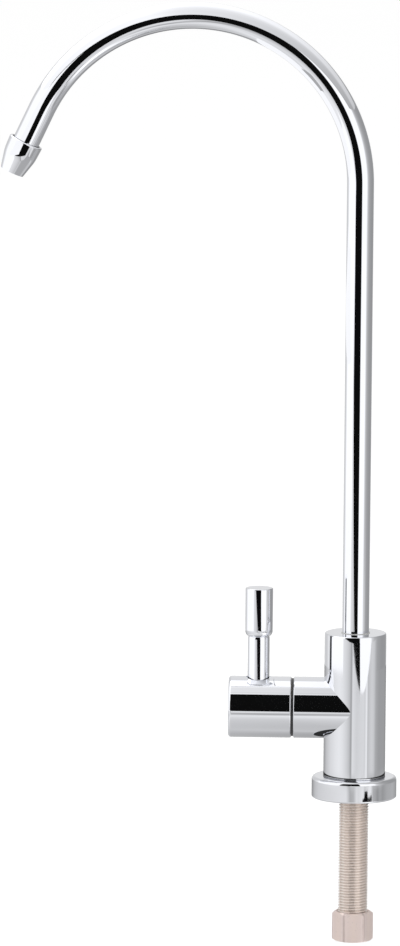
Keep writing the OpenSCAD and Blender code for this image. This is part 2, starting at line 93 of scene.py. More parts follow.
BODY_LO, BODY_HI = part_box("tap_body")
BODY_R, FOOT_Z, TOP_Z = BODY_HI.x, BODY_LO.z, BODY_HI.z
BRANCH_END = -BODY_LO.x
FLANGE_R, FLANGE_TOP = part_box("base_flange")[1].yz
GASKET_R, _, GASKET_TOP = measure("base_gasket")
RING_R, RING_LOW, _ = measure("spout_bearing_ring")
KNOB_R, KNOB_NEAR, KNOB_FAR = measure("handle_knob", VALVE)
GRIP_R, LEVER_FOOT, LEVER_TOP = measure("lever", LEVER)
SHANK_LO, SHANK_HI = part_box("shank")
SEAL_R, _, SEAL_TOP = measure("shank_seal")
NUT_R, NUT_LOW, NUT_TOP = measure("compression_nut")
FERRULE_R, FERRULE_LOW, FERRULE_TOP = measure("ferrule")

# Clearances, as on the CAD solids
SLIP = 0.03 * MM
TURN_GAP = 0.05 * MM

# Column's polished edges, branch, flange and waterways
FOOT_ROUND = 0.4 * MM
TOP_ROUND = 0.5 * MM
CROWN_LEN = 3.0 * MM
CROWN_IN = 0.045 * MM
SEAT_U = 4.5 * MM
FLANGE_ROUND = 1.3 * MM
FLANGE_FOOT_ROUND = 0.6 * MM
WATERWAY_R = 2.5 * MM
SPIGOT_R = SEAL_R + 0.1 * MM

# Knob and lever
KNOB_NEAR_ROUND = 0.4 * MM
KNOB_FAR_ROUND = 1.0 * MM
KNOB_WALL = 1.2 * MM
SPINDLE_R = 3.5 * MM
STEM_R = 4.05 * MM
STUD_R = 2.5 * MM
STUD_HOLE = 8.5 * MM
SPOT_MARGIN = 0.5 * MM
GRIP_LEN = 17.9 * MM
GRIP_TAPER = 0.025 * MM
GRIP_ROUND = 2.2 * MM
LEVER_LEAN = math.radians(1.0)

# Spout: a straight riser, the gooseneck, a short straight tip and the nozzle
BEND_ANGLE = math.radians(155)
TUBE_WALL = 1.0 * MM
TIP_LEN = 13.0 * MM
TIP_STEP = 0.02 * MM
NOZZLE_GRIP = 4.5 * MM
NOZZLE_SHOULDER = 5.6 * MM
NOZZLE_WAIST = 0.25 * MM
NOZZLE_KNEE = 15.0 * MM
SEAM_GAP = 0.45 * MM
SEAM_DEPTH = 2.0 * MM
MOUTH_R = 4.55 * MM
MOUTH_WALL = 1.0 * MM
TUBE_LO, TUBE_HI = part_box("spout_tube")
TUBE_R = TUBE_HI.x
TIP_LEAN = math.pi - BEND_ANGLE
TIP_REACH = (TIP_LEN + NOZZLE_GRIP) * math.sin(TIP_LEAN) + (TUBE_R - TIP_STEP) * math.cos(TIP_LEAN)
BEND_R = (-TUBE_LO.x - TIP_REACH) / (1 + math.cos(TIP_LEAN))
BEND_Z = TUBE_HI.z - TUBE_R - BEND_R

# Thread of the shank: 24 turns to the inch; its profile is (share of the pitch, share of the depth)
PITCH = 0.0254 / 24
THREAD_R = SHANK_HI.x
THREAD_DEPTH = 0.6134 * PITCH
ROOT_R = THREAD_R - THREAD_DEPTH
NECK_R = THREAD_R - THREAD_DEPTH / 2
THREAD_GAP = 0.07 * MM
THREAD_END = 0.3 * MM
THREAD_RUNOUT = 0.9 * MM
INLET_R = 3.3 * MM
THREAD_PROFILE = [
    (0.0, 0.0), (0.09, 0.0), (0.135, 0.1), (0.418, 0.9), (0.46, 1.0),
    (0.54, 1.0), (0.582, 0.9), (0.865, 0.1), (0.91, 0.0),
]

# Meshes
ROUND_STEPS = 144
NUT_STEPS = 360
ARC_STEPS = 12
SHARP = math.radians(30)
THREAD_SHARP = math.radians(62)
MERGE_DIST = 1e-7
FLAT_DIST = 1e-8

# Stage
FLOOR_GAP = 0.2 * MM
FLOOR_Z = CAD_BOX[0].z - FLOOR_GAP
NUT_DROP = 8.5 * MM
FLOOR_R = 3.0
FLOOR_SIDES = 64
DARK = 0.004


def nut_clock():
    """Angle of one of the nut's corners round its axis."""
    vertices = frame["nodes"]["compression_nut"].data.vertices
    corner = max(vertices, key=lambda vertex: vertex.co.xy.length).co
    return math.atan2(corner.y, corner.x) % (math.pi / 3)


# Shader helpers

def add(tree, kind, **settings):
    """A new node with these settings."""
    made = tree.nodes.new(kind)
    for name, value in settings.items():
        setattr(made, name, value)
    return made


def feed(tree, socket, value):
    """Sets a socket to a constant, or links another node's output to it."""
    if isinstance(value, bpy.types.NodeSocket):
        tree.links.new(value, socket)
    else:
        socket.default_value = value


def sums(tree, operation, *values):
    """A Math node's output."""
    made = add(tree, "ShaderNodeMath", operation=operation)
    for socket, value in zip(made.inputs, values):
        feed(tree, socket, value)
    return made.outputs[0]


def ramp(tree, factor, stops):
    """A colour ramp through (place, grey or colour) stops, in rising order."""
    made = add(tree, "ShaderNodeValToRGB")
    elements = made.color_ramp.elements
    elements[0].position = stops[0][0]
    elements[1].position = stops[-1][0]
    for place, _ in stops[1:-1]:
        elements.new(place)
    for element, (_, value) in zip(elements, stops):
        element.color = (*value, 1) if isinstance(value, tuple) else (value, value, value, 1)
    feed(tree, made.inputs[0], factor)
    return made.outputs[0]


def noise(tree, scale, detail=3.0, squeeze=(1, 1, 1)):
    """Noise in the object's own coordinates, in metres; squeeze stretches it along an axis."""
    place = add(tree, "ShaderNodeTexCoord")
    mapping = add(tree, "ShaderNodeMapping")
    mapping.inputs["Scale"].default_value = squeeze
    made = add(tree, "ShaderNodeTexNoise")
    made.inputs["Scale"].default_value = scale
    made.inputs["Detail"].default_value = detail
    tree.links.new(place.outputs["Object"], mapping.inputs["Vector"])
    tree.links.new(mapping.outputs[0], made.inputs["Vector"])
    return made.outputs["Fac"]


def spread(tree, value, low, high):
    """Maps 0.3..0.7, where noise mostly lies, to low..high."""
    made = add(tree, "ShaderNodeMapRange")
    feed(tree, made.inputs["Value"], value)
    made.inputs["From Min"].default_value = 0.3
    made.inputs["From Max"].default_value = 0.7
    made.inputs["To Min"].default_value = low
    made.inputs["To Max"].default_value = high
    return made.outputs["Result"]


def bump(tree, height, distance):
    """A bump whose full height is distance, in metres."""
    made = add(tree, "ShaderNodeBump")
    made.inputs["Distance"].default_value = distance
    feed(tree, made.inputs["Height"], height)
    return made.outputs["Normal"]


def finish(name, metallic, colour, rough, normal):
    """A material whose colour, roughness and normal are made by functions of its node tree."""
    made = bpy.data.materials.new(name)
    made.use_nodes = True
    tree = made.node_tree
    shader = tree.nodes["Principled BSDF"]
    shader.inputs["Metallic"].default_value = metallic
    tree.links.new(colour(tree), shader.inputs["Base Color"])
    tree.links.new(rough(tree), shader.inputs["Roughness"])
    tree.links.new(normal(tree), shader.inputs["Normal"])
    return made


# Finishes

def chrome():
    """Bright chrome plate: almost a mirror, with faint polishing haze."""
    def tint(tree):
        dark, light = (0.885, 0.898, 0.938), (0.915, 0.925, 0.962)
        return ramp(tree, noise(tree, scale=30), [(0.3, dark), (0.7, light)])

    def haze(tree):
        return spread(tree, noise(tree, scale=220, detail=6, squeeze=(1, 1, 0.35)), low=0.012, high=0.045)

    def waves(tree):
        return bump(tree, noise(tree, scale=70, detail=2), distance=0.004 * MM)

    return finish("chrome_plate", 1.0, tint, haze, waves)


def nickel(name, shades, rough, metallic, grain_depth):
    """Nickel plate on machined brass: warm and soft, with a fine grain; shades makes its colour."""
    def sheen(tree):
        fine = noise(tree, scale=1400, detail=5, squeeze=(1, 1, 3))
        return spread(tree, fine, low=rough * 0.85, high=rough * 1.15)

    def grain(tree):
        return bump(tree, noise(tree, scale=2600, detail=2), distance=grain_depth)

    return finish(name, metallic, shades, sheen, grain)


def thread_shade_and_highlight(tree):
    """Painted shade in the thread's hollows, and lighter crests that are partly rubbed wear and partly painted
    highlight.
    """
    geometry = add(tree, "ShaderNodeNewGeometry")
    # Low pointiness, in the hollows, is painted dark as shade; high pointiness, on the crests, is painted light.
    return ramp(tree, geometry.outputs["Pointiness"], [
        (0.42, (0.30, 0.255, 0.225)), (0.5, (0.94, 0.845, 0.785)), (0.58, (1.0, 0.95, 0.91)),
    ])


def hex_corner_shade(tree):
    """Plain flats and darker corners, found from the angle round the nut's axis: the corners are painted shade
    lines, with a faint painted highlight just inside them.
    """
    place = add(tree, "ShaderNodeTexCoord")
    split = add(tree, "ShaderNodeSeparateXYZ")
    tree.links.new(place.outputs["Object"], split.inputs[0])
    angle = sums(tree, "ARCTAN2", split.outputs[1], split.outputs[0])
    from_corner = sums(tree, "PINGPONG", sums(tree, "SUBTRACT", angle, nut_clock()), math.pi / 6)
    mottle = spread(tree, noise(tree, scale=300), low=-0.015, high=0.015)
    # Stops: painted shade right at the corners, a faint painted highlight just inside them, then the plain flat.
    return ramp(tree, sums(tree, "ADD", from_corner, mottle), [
        (0.0, (0.66, 0.54, 0.51)), (0.04, (0.70, 0.58, 0.55)), (0.08, (0.91, 0.775, 0.735)),
        (0.20, (0.88, 0.74, 0.695)), (0.50, (0.90, 0.755, 0.695)),
    ])


def turned(name, dark, light, rough):
    """A turned metal: fine rings of tool marks and a little tarnish."""
    across_marks = (4, 1, 1)

    def tarnish(tree):
        return ramp(tree, noise(tree, scale=160, detail=5), [(0.3, dark), (0.7, light)])

    def sheen(tree):
        fine = noise(tree, scale=900, detail=4, squeeze=across_marks)
        return spread(tree, fine, low=rough * 0.8, high=rough * 1.25)

    def marks(tree):
        return bump(tree, noise(tree, scale=2200, squeeze=across_marks), distance=0.012 * MM)

    return finish(name, 1.0, tarnish, sheen, marks)


def moulded(name, dark, light, rough, grain_scale, grain_depth):
    """A moulded or pressed material: a slight mottle and a fine skin."""
    def mottle(tree):
        return ramp(tree, noise(tree, scale=240, detail=5), [(0.3, dark), (0.7, light)])

    def sheen(tree):
        fine = noise(tree, scale=grain_scale / 2, detail=4)
        return spread(tree, fine, low=rough * 0.85, high=min(1.0, rough * 1.15))

    def skin(tree):
        return bump(tree, noise(tree, scale=grain_scale), distance=grain_depth)

    return finish(name, 0.0, mottle, sheen, skin)


FINISHES = {
    "chrome": chrome(),
    # satin_nickel's colour carries painted shade lines along the nut's corners.
    "nickel": nickel("satin_nickel", hex_corner_shade, 0.32, 0.6, 0.001 * MM),
    "brass": turned("turned_brass", (0.70, 0.55, 0.27), (0.83, 0.69, 0.40), 0.24),
    "steel": turned("bright_steel", (0.56, 0.57, 0.60), (0.68, 0.69, 0.72), 0.28),
    "rubber": moulded("black_rubber", (0.018, 0.018, 0.018), (0.035, 0.035, 0.034), 0.62, 3000, 0.02 * MM),
    "nylon": moulded("natural_nylon", (0.66, 0.66, 0.64), (0.75, 0.75, 0.72), 0.42, 2400, 0.012 * MM),
    "acetal": moulded("black_acetal", (0.016, 0.016, 0.017), (0.030, 0.030, 0.032), 0.38, 2400, 0.010 * MM),
    "ceramic": moulded("lapped_ceramic", (0.80, 0.79, 0.76), (0.87, 0.86, 0.84), 0.22, 5000, 0.004 * MM),
}
# The thread's colour carries painted shade in its hollows and painted highlight on its crests.
THREAD_NICKEL = nickel("thread_nickel", thread_shade_and_highlight, 0.22, 0.7, 0.003 * MM)


# Mesh helpers

def to_mesh(name, bm):
    """Turns a bmesh into a clean, closed mesh whose normals point out."""
    bmesh.ops.remove_doubles(bm, verts=bm.verts, dist=MERGE_DIST)
    bmesh.ops.dissolve_degenerate(bm, edges=bm.edges, dist=FLAT_DIST)
    bmesh.ops.delete(bm, geom=[edge for edge in bm.edges if edge.is_wire], context="EDGES")
    bmesh.ops.holes_fill(bm, edges=[edge for edge in bm.edges if edge.is_boundary])
    bmesh.ops.recalc_face_normals(bm, faces=bm.faces)
    mesh = bpy.data.meshes.new(name)
    bm.to_mesh(mesh)
    bm.free()
    return mesh


def show(name, bm, body, slot, node, material=None, sharp=SHARP):
    """Makes a piece of a bmesh: it rides a body, has a slot's finish and stands for a CAD node."""
    mesh = to_mesh(name, bm)
    mesh.polygons.foreach_set("use_smooth", [True] * len(mesh.polygons))
    mesh.set_sharp_from_angle(angle=sharp)
    mesh.materials.append(material or FINISHES[slot])
    made = bpy.data.objects.new(name, mesh)
    SCENE.collection.objects.link(made)
    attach(made, body)
    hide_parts(node)
    return made


def combine(bm, operation, *others):
    """Adds closed bmeshes to a closed bmesh, or cuts them out of it."""
    meshes = [to_mesh("part", part) for part in (bm, *others)]
    objects = [bpy.data.objects.new("part", mesh) for mesh in meshes]
    for each in objects:
        SCENE.collection.objects.link(each)
    for other in objects[1:]:
        step = objects[0].modifiers.new("step", "BOOLEAN")
        step.operation = operation
        step.solver = "EXACT"
        step.object = other
    bpy.context.view_layer.update()
    result = bmesh.new()
    result.from_object(objects[0], bpy.context.evaluated_depsgraph_get())
    for each in objects:
        bpy.data.objects.remove(each)
    for mesh in meshes:
        bpy.data.meshes.remove(mesh)
    return result


def round_normals(made, place, radius):
    """Sets exact normals on the faces that lie on a cylinder, which cuts would leave uneven."""
    most_slope, most_off = 0.02, 0.01 * MM
    mesh = made.data
    back = place.inverted()
    normals = [corner.vector.copy() for corner in mesh.corner_normals]
    for face in mesh.polygons:
        slope = abs((back.to_3x3() @ face.normal).z)
        if slope > most_slope or abs((back @ face.center).xy.length - radius) > most_off:
            continue
        for corner in face.loop_indices:
            point = back @ mesh.vertices[mesh.loops[corner].vertex_index].co
            normals[corner] = (place.to_3x3() @ Vector((point.x, point.y, 0))).normalized()
    mesh.normals_split_custom_set(normals)


def arc(middle_r, middle_z, size_r, size_z, start, end):
    """Points of an outline on part of an ellipse, from one angle to another in degrees."""
    angles = [math.radians(start + (end - start) * k / ARC_STEPS) for k in range(ARC_STEPS + 1)]
    return [(middle_r + size_r * math.cos(a), middle_z + size_z * math.sin(a)) for a in angles]


def rounded(corners, support=0.12 * MM):
    """An outline of (radius, height) points; a third number rounds a corner to that radius.

    A point that far beyond each end of the round keeps the normals of the next faces straight."""
    points = []
    for k, corner in enumerate(corners):
        here = Vector(corner[:2])
        if len(corner) == 2:
            points.append(here)
            continue
        before = (Vector(corners[k - 1][:2]) - here).normalized()
        after = (Vector(corners[(k + 1) % len(corners)][:2]) - here).normalized()
        half = before.angle(after) / 2
        reach = corner[2] / math.tan(half)
        middle = here + (before + after).normalized() * corner[2] / math.sin(half)
        start = (here + before * reach - middle).normalized()
        end = (here + after * reach - middle).normalized()
        points.append(here + before * (reach + support))
        points += [middle + start.slerp(end, step / ARC_STEPS) * corner[2] for step in range(ARC_STEPS + 1)]
        points.append(here + after * (reach + support))
    return points


def turns(steps, start=0.0):
    """Evenly spaced angles round a circle."""
    return [start + 2 * math.pi * k / steps for k in range(steps)]


def circle(bm, radius, height, place=UPRIGHT):
    """A ring of vertices round a place's Z axis; a ring with no radius is one vertex."""
    if radius == 0:
        return [bm.verts.new(place @ Vector((0, 0, height)))] * ROUND_STEPS
    return [bm.verts.new(place @ Vector((radius * math.cos(a), radius * math.sin(a), height)))
            for a in turns(ROUND_STEPS)]


def join_rings(bm, rings):
    """Faces between each ring of vertices and the next."""
    for low, high in zip(rings, rings[1:]):
        count = len(low)
        for k in range(count):
            n = (k + 1) % count
            corners = list(dict.fromkeys((low[k], low[n], high[n], high[k])))
            if len(corners) > 2:
                bm.faces.new(corners)


def lathe(outline, place=UPRIGHT):
    """A closed solid of revolution round a place's Z axis."""
    bm = bmesh.new()
    rings = [circle(bm, radius, height, place) for radius, height in outline]
    join_rings(bm, rings + rings[:1])
    return bm


def rod(radius, low, high, place=UPRIGHT):
    """A plain round rod, used to cut holes."""
    return lathe([(0, low), (radius, low), (radius, high), (0, high)], place)


def smooth(t):
    """Eased 0..1."""
    t = min(1.0, max(0.0, t))
    return t * t * (3 - 2 * t)


def helix(bm, low, high, end_r, gap, runout, angles):
    """Right-handed thread between two heights, easing to a plain radius at both ends."""
    first, last = math.floor(low / PITCH) - 2, math.ceil(high / PITCH) + 1
    columns = []
    for angle in angles:
        column = []
        for turn in range(first, last):
            for share, depth in THREAD_PROFILE:
                z = min(high, max(low, (turn + share + angle / (2 * math.pi)) * PITCH))
                full = smooth((high - z) / runout) * smooth((z - low) / runout)
                r = end_r + (ROOT_R + THREAD_DEPTH * depth + gap - end_r) * full
                column.append(bm.verts.new((r * math.cos(angle), r * math.sin(angle), z)))
        columns.append(column)
    rows = len(columns[0])
    for k, here in enumerate(columns):
        there = columns[(k + 1) % len(columns)]
        shift = len(THREAD_PROFILE) if k + 1 == len(columns) else 0
        for i in range(rows - 1 - shift):
            bm.faces.new((here[i], there[i + shift], there[i + 1 + shift], here[i + 1]))


# Pieces that stay with the deck

def column():
    """Column's outside: a rounded foot and top edge, and a hair of taper below the top, from polishing."""
    edge_z = TOP_Z - TOP_ROUND
    drawn = [(BODY_R - CROWN_IN * (k / ARC_STEPS) ** 3, edge_z - CROWN_LEN * (1 - k / ARC_STEPS))
             for k in range(ARC_STEPS)]
    slope = math.degrees(math.atan(3 * CROWN_IN / CROWN_LEN))
    return lathe([
        (0, FOOT_Z),
        *arc(BODY_R - FOOT_ROUND, FOOT_Z + FOOT_ROUND, FOOT_ROUND, FOOT_ROUND, -90, 0),
        (BODY_R, FOOT_Z + 2 * FOOT_ROUND), *drawn,
        *arc(BODY_R - CROWN_IN - TOP_ROUND, edge_z, TOP_ROUND, TOP_ROUND, slope, 90),
        (0, TOP_Z),
    ])


def branch():
    """Side branch that holds the valve, as wide as the knob it leads to."""
    return lathe(rounded([(0, 0), (KNOB_R, 0), (KNOB_R, BRANCH_END, FOOT_ROUND), (0, BRANCH_END)]), VALVE)


def polished_body():
    """Cast body: column and branch in one, with the spout's socket, the valve's chamber and waterways."""
    over, tail_room, chamber_wall, seat_lip = 1.0 * MM, 1.2 * MM, 2.9 * MM, 0.1 * MM
    passage_rise, outlet_rise, outlet_r, outlet_x = 2.0 * MM, 6.6 * MM, 2.0 * MM, -4.1 * MM
    clip_r, clip_low, clip_top = measure("spout_clip")
    groove_r, groove_low, groove_top = clip_r + 2 * TURN_GAP, clip_low - TURN_GAP, clip_top + TURN_GAP
    socket_r, socket_floor = TUBE_R + TURN_GAP, measure("spout_tail")[1] - tail_room
    socket = lathe([
        (0, socket_floor), (socket_r, socket_floor), (socket_r, groove_low), (groove_r, groove_low),
        (groove_r, groove_top), (socket_r, groove_top), (socket_r, RING_LOW), (RING_R + SLIP, RING_LOW),
        (RING_R + SLIP, TOP_Z + over), (0, TOP_Z + over),
    ])
    bores = [
        socket,
        rod(SPIGOT_R + SLIP, FOOT_Z - over, SEAL_TOP),
        rod(WATERWAY_R, SEAL_TOP - over, VALVE_Z + passage_rise),
        rod(KNOB_R - chamber_wall, SEAT_U, BRANCH_END + over, VALVE),
        rod(WATERWAY_R - seat_lip, 0, SEAT_U + over, VALVE),
        rod(outlet_r, VALVE_Z + outlet_rise, socket_floor + over, Matrix.Translation((outlet_x, 0, 0))),
    ]
    casting = combine(combine(column(), "UNION", branch()), "DIFFERENCE", *bores)
    made = show("polished_body", casting, "body", "chrome", "tap_body")
    round_normals(made, UPRIGHT, BODY_R)
    round_normals(made, VALVE, KNOB_R)


def polished_flange():
    """Base flange with a soft top edge and the gasket's recess below."""
    hole_gap = 0.15 * MM
    hole_r, recess_r = THREAD_R + hole_gap, GASKET_R + SLIP
    outline = rounded([
        (hole_r, GASKET_TOP), (recess_r, GASKET_TOP), (recess_r, 0),
        (FLANGE_R, 0, FLANGE_FOOT_ROUND), (FLANGE_R, FLANGE_TOP, FLANGE_ROUND), (hole_r, FLANGE_TOP),
    ])
    show("polished_flange", lathe(outline), "body", "chrome", "base_flange")


def threaded_shank():
    """Threaded shank: one right-handed helix that runs out at both ends, with spigot, bore and socket."""
    neck_len, inlet_depth, mouth_depth, mouth_r = 0.6 * MM, 10 * MM, 2 * MM, 4.4 * MM
    end = SHANK_LO.z
    low, high, inlet_top = end + THREAD_END, -neck_len, end + inlet_depth
    bm = bmesh.new()
    helix(bm, low, high, NECK_R, 0, THREAD_RUNOUT, turns(ROUND_STEPS))
    inside = [
        (NECK_R, high), (NECK_R, FOOT_Z), (SPIGOT_R, FOOT_Z), (SPIGOT_R, SHANK_HI.z),
        (WATERWAY_R, SHANK_HI.z), (WATERWAY_R, inlet_top), (INLET_R, inlet_top),
        (INLET_R, end + mouth_depth), (mouth_r, end), (NECK_R - THREAD_END, end), (NECK_R, low),
    ]
    join_rings(bm, [circle(bm, r, z) for r, z in inside])
    show("threaded_shank", bm, "body", "nickel", "shank", THREAD_NICKEL, THREAD_SHARP)


# Pieces that turn or slide

def leaning():
    """Place of the closed lever, which leans back a hair from upright round the valve's axis."""
    centre = Matrix.Translation((0, 0, VALVE_Z))
    return centre @ Matrix.Rotation(-LEVER_LEAN, 4, "X") @ centre.inverted() @ LEVER


def polished_knob():
    """Knob: a hollow cap that carries on the branch's line, with a flat spot for the lever's foot."""
    clip_room, drive_room, over = 1.0 * MM, 0.5 * MM, 1.0 * MM
    bore_r, cavity_r = SPINDLE_R + SLIP, KNOB_R - KNOB_WALL
    cavity_end = measure("spindle_clip", VALVE)[2] + clip_room
    drive_end = measure("spindle", VALVE)[2] + drive_room
    cap = lathe(rounded([
        (0, drive_end), (bore_r, drive_end), (bore_r, cavity_end), (cavity_r, cavity_end),
        (cavity_r, KNOB_NEAR), (KNOB_R, KNOB_NEAR, KNOB_NEAR_ROUND), (KNOB_R, KNOB_FAR, KNOB_FAR_ROUND),
        (0, KNOB_FAR),
    ]), VALVE)
    above = VALVE_Z + KNOB_R + over
    spot = rod(STEM_R + SPOT_MARGIN, LEVER_FOOT, above, leaning())
    stud_hole = rod(STUD_R + SLIP, VALVE_Z, above, leaning())
    cut = combine(cap, "DIFFERENCE", spot, stud_hole)
    made = show("polished_knob", cut, "handle", "chrome", "handle_knob")
    round_normals(made, VALVE, KNOB_R)


def polished_lever():
    """Lever: a stem with a rounded shoulder, and a wider grip above it."""
    neck_h, neck_in, neck_turn, support = 1.1 * MM, 0.4 * MM, 85, 0.05 * MM
    foot_round, top_round, ease_r, ease_h = 0.3 * MM, 0.4 * MM, 0.01 * MM, 0.3 * MM
    hole_r, hole_end = STUD_R + SLIP, LEVER_FOOT + STUD_HOLE
    grip_low, grip_low_r = LEVER_TOP - GRIP_LEN, GRIP_R - GRIP_TAPER
    grip_start, neck_r, neck_low = grip_low + GRIP_ROUND, STEM_R - neck_in, grip_low - neck_h
    outline = rounded([
        (0, hole_end), (hole_r, hole_end), (hole_r, LEVER_FOOT),
        (STEM_R, LEVER_FOOT, foot_round), (STEM_R, neck_low - support),
        *arc(neck_r, neck_low, neck_in, neck_h, 0, neck_turn), (neck_r, grip_low),
        *arc(STEM_R, grip_start, grip_low_r - STEM_R, GRIP_ROUND, -90, 0),
        (grip_low_r + ease_r, grip_start + ease_h), (GRIP_R, LEVER_TOP, top_round), (0, LEVER_TOP),
    ])
    show("polished_lever", lathe(outline, leaning()), "handle", "chrome", "lever")


def bend_place(angle):
    """Where the spout's centre line is, at an angle round the gooseneck."""
    middle = Matrix.Translation((-BEND_R, 0, BEND_Z))
    return middle @ Matrix.Rotation(-angle, 4, "Y") @ Matrix.Translation((BEND_R, 0, 0))


def gooseneck_tube():
    """Spout tube: one bent pipe, open at both ends."""
    near, bend_steps = 1.0 * MM, 90
    end = bend_place(BEND_ANGLE)
    places = [Matrix.Translation((0, 0, z)) for z in (TUBE_LO.z, TUBE_LO.z + near, BEND_Z - near)]
    places += [bend_place(BEND_ANGLE * k / bend_steps) for k in range(bend_steps + 1)]
    places += [end @ Matrix.Translation((0, 0, along)) for along in (near, TIP_LEN + NOZZLE_GRIP)]
    bm = bmesh.new()
    outside = [circle(bm, TUBE_R, 0, place) for place in places]
    inside = [circle(bm, TUBE_R - TUBE_WALL, 0, place) for place in places]
    join_rings(bm, outside + inside[::-1] + outside[:1])
    show("gooseneck_tube", bm, "spout", "chrome", "spout_tube")


def outlet_nozzle():
    """Nozzle: a fine gap round the tube, a rounded rim, a part that hardly narrows, and a cone below."""
    rim_round, mouth_round, bore_round, support = 0.45 * MM, 0.15 * MM, 0.2 * MM, 0.03 * MM
    place = bend_place(BEND_ANGLE) @ Matrix.Translation((0, 0, TIP_LEN))
    rim_r, _, length = measure("spout_nozzle", place)
    bore_r, tube_r, seam_r = MOUTH_R - MOUTH_WALL, TUBE_R + SLIP, TUBE_R + SEAM_GAP
    outline = rounded([
        (tube_r, SEAM_DEPTH), (seam_r, SEAM_DEPTH), (seam_r, 0), (rim_r, 0, rim_round),
        (rim_r - NOZZLE_WAIST, NOZZLE_SHOULDER, NOZZLE_KNEE), (MOUTH_R, length, mouth_round),
        (bore_r, length, bore_round), (bore_r, NOZZLE_GRIP), (tube_r, NOZZLE_GRIP),
    ], support)
    show("outlet_nozzle", lathe(outline, place), "spout", "chrome", "spout_nozzle")


def hex_nut():
    """Compression nut: a chamfered hexagon with soft corners, a thread inside and the ferrule's cone."""
    corner_round, edge_w, lead, runout = 0.55 * MM, 0.35 * MM, 0.5 * MM, 0.7 * MM
    top_r, top_slope = NUT_R - 1.3 * MM, 1.1 / 1.5
    low_r, low_slope = NUT_R - 1.0 * MM, 0.7 / 1.2
    seat_gap, seat_step, cone_gap, recess_drop = 0.2 * MM, 0.25 * MM, 0.13 * MM, 0.3 * MM
    clock = nut_clock()
    angles = turns(NUT_STEPS, clock)
    flat_r = NUT_R * math.cos(math.pi / 6)
    middle_r = (flat_r - corner_round) / math.cos(math.pi / 6)
    rounded_to = math.atan2(corner_round / 2, middle_r + corner_round * math.cos(math.pi / 6))

    def across(angle):
        off = abs((angle - clock + math.pi / 6) % (math.pi / 3) - math.pi / 6)
        if off > rounded_to:
            return flat_r / math.cos(math.pi / 6 - off)
        return middle_r * math.cos(off) + math.sqrt(corner_round ** 2 - (middle_r * math.sin(off)) ** 2)

    def top_edge(angle):
        return NUT_TOP - (across(angle) - top_r) * top_slope

    def low_edge(angle):
        return NUT_LOW + max(0, across(angle) - low_r) * low_slope

    bm = bmesh.new()

    def ring(radius_at, height_at):
        return [bm.verts.new((radius_at(a) * math.cos(a), radius_at(a) * math.sin(a), height_at(a)))
                for a in angles]

    def plain(radius, height):
        return ring(lambda _: radius, lambda _: height)

    wall_r = THREAD_R + THREAD_GAP
    recess_low = (FERRULE_LOW + FERRULE_TOP) / 2 - recess_drop
    seat_z = FERRULE_LOW - seat_gap
    thread_low = SHANK_LO.z + THREAD_END + THREAD_RUNOUT
    helix(bm, thread_low, NUT_TOP - lead, wall_r, THREAD_GAP, runout, angles)
    join_rings(bm, [
        plain(wall_r, NUT_TOP - lead), plain(wall_r + lead, NUT_TOP), plain(top_r, NUT_TOP),
        ring(across, top_edge), ring(across, lambda a: top_edge(a) - edge_w),
        ring(across, lambda a: low_edge(a) + edge_w), ring(across, low_edge),
        ring(lambda a: min(low_r, across(a)), lambda _: NUT_LOW),
        plain(INLET_R, NUT_LOW), plain(INLET_R, seat_z), plain(INLET_R + seat_step, seat_z),
        plain(FERRULE_R + cone_gap, recess_low), plain(wall_r, recess_low), plain(wall_r, thread_low),
    ])
    show("hex_nut", bm, "nut", "nickel", "compression_nut")


def dress_cad_nodes():
    """Gives every CAD node its finish."""
    for part in frame["record"]["subparts"]:
        shown = frame["nodes"][part["node"]]
        shown.data.materials.clear()
        shown.data.materials.append(FINISHES[part["material_slot"]])


# Stage, light and camera

def unlit(tree, value):
    """An emission whose colour is a constant grey or another node's output."""
    made = add(tree, "ShaderNodeEmission")
    colour = value if isinstance(value, bpy.types.NodeSocket) else (value, value, value, 1)
    feed(tree, made.inputs["Color"], colour)
    return made.outputs[0]


def mix(tree, factor, first, second):
    """A Mix Shader's output."""
    made = add(tree, "ShaderNodeMixShader")
    feed(tree, made.inputs[0], factor)
    tree.links.new(first, made.inputs[1])
    tree.links.new(second, made.inputs[2])
    return made.outputs[0]


def bearings(*stops):
    """Ramp stops from (compass bearing, grey): 0 is towards the camera, positive to its right."""
    return [(0.5 + degrees / 360, grey) for degrees, grey in stops]


def bearing_of(tree, x, y):
    """The bearing of a direction or point, in radians."""
    return sums(tree, "ARCTAN2", x, sums(tree, "MULTIPLY", y, -1.0))


def around(tree, bearing):
    """Where a bearing lies on a ramp of bearings."""
    return sums(tree, "ADD", sums(tree, "DIVIDE", bearing, 2 * math.pi), 0.5)


def backdrop(tree, colour, strength=1.0):
    """A Background shader's output."""
    made = add(tree, "ShaderNodeBackground")
    feed(tree, made.inputs["Color"], colour)
    made.inputs["Strength"].default_value = strength
    return made.outputs[0]


